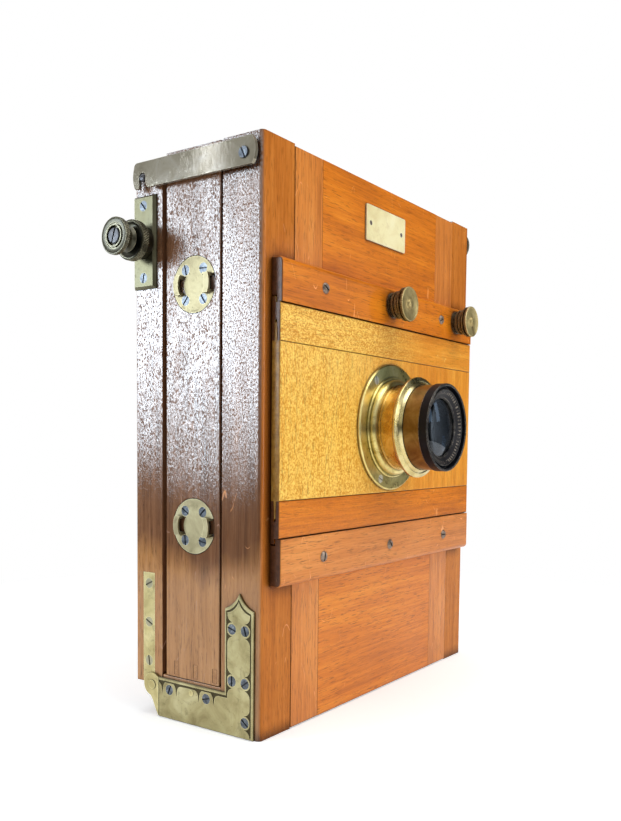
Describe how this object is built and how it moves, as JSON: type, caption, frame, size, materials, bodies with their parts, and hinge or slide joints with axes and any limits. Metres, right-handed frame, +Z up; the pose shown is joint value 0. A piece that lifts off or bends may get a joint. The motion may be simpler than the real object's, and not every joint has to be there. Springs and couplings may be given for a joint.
{
  "type": "view camera",
  "caption": "Folding wooden view camera, closed: brass lens on a shifting board in a rising front, side latches, and a hinged tailboard that carries the rack-and-pinion focusing bed.",
  "frame": {"origin": "centre of the tripod bush's mouth, in the plane of the underside", "axes": "+Z up, the lens looks along -Y, the focusing knob is on the -X side"},
  "size_m": [0.2289, 0.1201, 0.268],
  "materials": {
    "mahogany": "french polished, worn",
    "light_mahogany": "french polished",
    "brass": "aged lacquer",
    "name_plate_brass": "bare, dull",
    "polished_brass": "polished",
    "lacquered_brass": "dark amber lacquer",
    "bronze": "bronzed, worn",
    "steel": "blued, worn",
    "blued_steel": "blued",
    "black_enamel": "enamel, worn at the edge",
    "leather": "pleated",
    "lens_glass": "polished",
    "ground_glass": "ground"
  },
  "bodies": {
    "body": {"front_stile_left": "mahogany", "front_stile_right": "mahogany", "front_top_rail": "mahogany", "front_bottom_rail": "mahogany", "base_board": "mahogany", "tripod_bush": "brass", "corner_bracket_left": "brass", "corner_bracket_right": "brass", "hinge_ears": "brass", "hinge_pins": "brass", "body_screws": "steel", "latch_pivots": "steel", "standard_left": "mahogany", "standard_right": "mahogany", "standard_top": "mahogany", "standard_bottom": "mahogany", "handle_plate_upper": "brass", "handle_plate_lower": "brass", "bellows": "leather", "bellows_frame": "mahogany", "focusing_screen_frame": "mahogany", "focusing_screen_glass": "ground_glass", "focusing_screen_clips": "brass"},
    "rising_front": {"rising_panel": "mahogany", "rising_panel_cleats": "mahogany", "upper_batten": "mahogany", "lower_batten": "mahogany", "name_plate": "name_plate_brass", "rising_front_screws": "steel", "clamp_nuts": "brass"},
    "shift_clamp": {"shift_clamp_knob": "bronze"},
    "rise_clamp": {"rise_clamp_knob": "bronze"},
    "lens_board": {"lens_board_panel": "light_mahogany", "lens_board_cleats": "mahogany", "lens_flange": "polished_brass", "lens_flange_screws": "steel", "lens_barrel": "lacquered_brass", "front_barrel": "lacquered_brass", "lens_hood": "black_enamel", "retaining_ring": "black_enamel", "front_glass": "lens_glass", "rear_cell": "polished_brass", "rear_glass": "lens_glass", "iris_blades": "blued_steel"},
    "iris_ring": {"iris_ring": "polished_brass"},
    "latch_left": {"latch_strap_left": "brass"},
    "latch_right": {"latch_strap_right": "brass"},
    "tailboard": {"tailboard_rail_left": "mahogany", "tailboard_rail_right": "mahogany", "tailboard_cross_rails": "mahogany", "tailboard_panel": "mahogany", "hinge_strips": "brass", "focus_plates": "brass", "tailboard_screws": "steel", "latch_pins": "steel"},
    "bed_slider": {"bed_slider": "mahogany", "bed_racks": "polished_brass"},
    "focus_pinion": {"pinion_shaft": "steel", "focus_knob": "bronze"},
    "lock_ring": {"lock_ring": "bronze"}
  },
  "joints": [
    {"name": "front_rise", "type": "slide", "parent": "body", "child": "rising_front", "axis": [0, 0, 1], "range_m": [0, 0.03]},
    {"name": "lens_shift", "type": "slide", "parent": "rising_front", "child": "lens_board", "axis": [1, 0, 0], "range_m": [-0.02, 0.02]},
    {"name": "shift_clamp_turn", "type": "hinge", "parent": "rising_front", "child": "shift_clamp", "pos_m": [-0.001, -0.052, 0.2062], "axis": [0, -1, 0], "range_deg": [0, 360]},
    {"name": "rise_clamp_turn", "type": "hinge", "parent": "rising_front", "child": "rise_clamp", "pos_m": [0.0739, -0.052, 0.2062], "axis": [0, -1, 0], "range_deg": [0, 360]},
    {"name": "iris_turn", "type": "hinge", "parent": "lens_board", "child": "iris_ring", "pos_m": [0, -0.0655, 0.1423], "axis": [0, -1, 0], "range_deg": [0, 90]},
    {"name": "latch_left_lift", "type": "hinge", "parent": "body", "child": "latch_left", "pos_m": [-0.105, -0.03525, 0.2581], "axis": [1, 0, 0], "range_deg": [0, 110]},
    {"name": "latch_right_lift", "type": "hinge", "parent": "body", "child": "latch_right", "pos_m": [0.105, -0.03525, 0.2581], "axis": [1, 0, 0], "range_deg": [0, 110]},
    {"name": "tailboard_fold", "type": "hinge", "parent": "body", "child": "tailboard", "pos_m": [0, 0.02405, 0.015], "axis": [-1, 0, 0], "range_deg": [0, 90]},
    {"name": "bed_slide", "type": "slide", "parent": "tailboard", "child": "bed_slider", "axis": [0, 0, 1], "range_m": [0, 0.12]},
    {"name": "focus_turn", "type": "hinge", "parent": "tailboard", "child": "focus_pinion", "pos_m": [-0.116, 0.02885, 0.2278], "axis": [-1, 0, 0], "range_deg": [0, 1720]},
    {"name": "lock_turn", "type": "hinge", "parent": "tailboard", "child": "lock_ring", "pos_m": [-0.109, 0.02885, 0.2278], "axis": [-1, 0, 0], "range_deg": [0, 90]}
  ],
  "couplings": [
    {"joint": "focus_turn", "follows": "bed_slide", "rad_per_m": 250}
  ]
}
